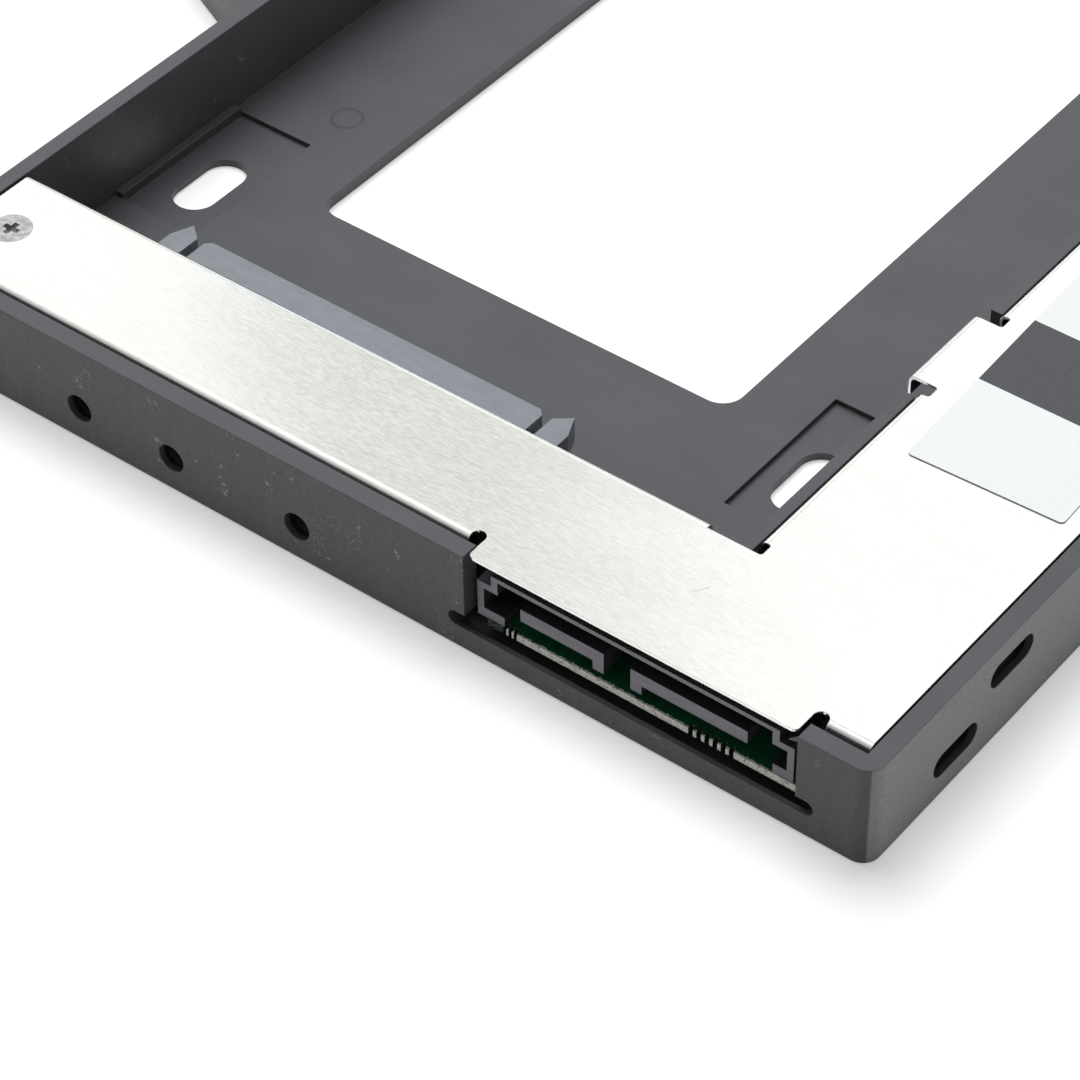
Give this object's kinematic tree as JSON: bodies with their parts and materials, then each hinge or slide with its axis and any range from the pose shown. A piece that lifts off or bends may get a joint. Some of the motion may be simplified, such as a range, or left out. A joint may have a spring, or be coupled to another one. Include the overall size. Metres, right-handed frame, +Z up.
{
  "type": "hard drive caddy",
  "caption": "Slim moulded tray that carries a 2.5 inch drive in a slim optical drive bay, with a host plug and a drive socket on a small board under a folded steel cover.",
  "frame": {"origin": "centre of the outline on the resting face, which is the closed floor of the tray", "axes": "+Z up out of the open side, -Y towards the rear end with the host plug, +X towards the straight side beside the plug"},
  "size_m": [0.128, 0.126, 0.0095],
  "materials": {
    "tray_plastic": "matt black moulded plastic with a fine grain",
    "cover_steel": "bright rolled steel sheet, brushed across",
    "board_green": "green solder mask on glass laminate",
    "plug_plastic": "black glass filled plastic",
    "socket_plastic": "grey black glass filled plastic",
    "contact_gold": "gold plated",
    "tinned_metal": "tinned",
    "ceramic": "tan ceramic with tinned ends",
    "resistor_black": "black glaze",
    "capacitor_yellow": "moulded resin",
    "screw_steel": "zinc plated",
    "film_black": "black film",
    "label_paper": "plain white paper with one dark band"
  },
  "bodies": {
    "root": {"tray_frame": "tray_plastic", "cover_plate": "cover_steel", "circuit_board": "board_green", "host_plug_housing": "plug_plastic", "drive_socket_housing": "socket_plastic", "host_signal_contacts": "contact_gold", "host_power_contacts": "contact_gold", "drive_signal_contacts": "contact_gold", "drive_power_contacts": "contact_gold", "host_plug_locks": "tinned_metal", "drive_socket_locks": "tinned_metal", "ceramic_capacitors": "ceramic", "chip_resistors": "resistor_black", "tantalum_capacitors": "capacitor_yellow", "board_screws": "screw_steel", "cover_screws": "screw_steel", "insulating_film": "film_black", "paper_label": "label_paper"}
  },
  "joints": []
}
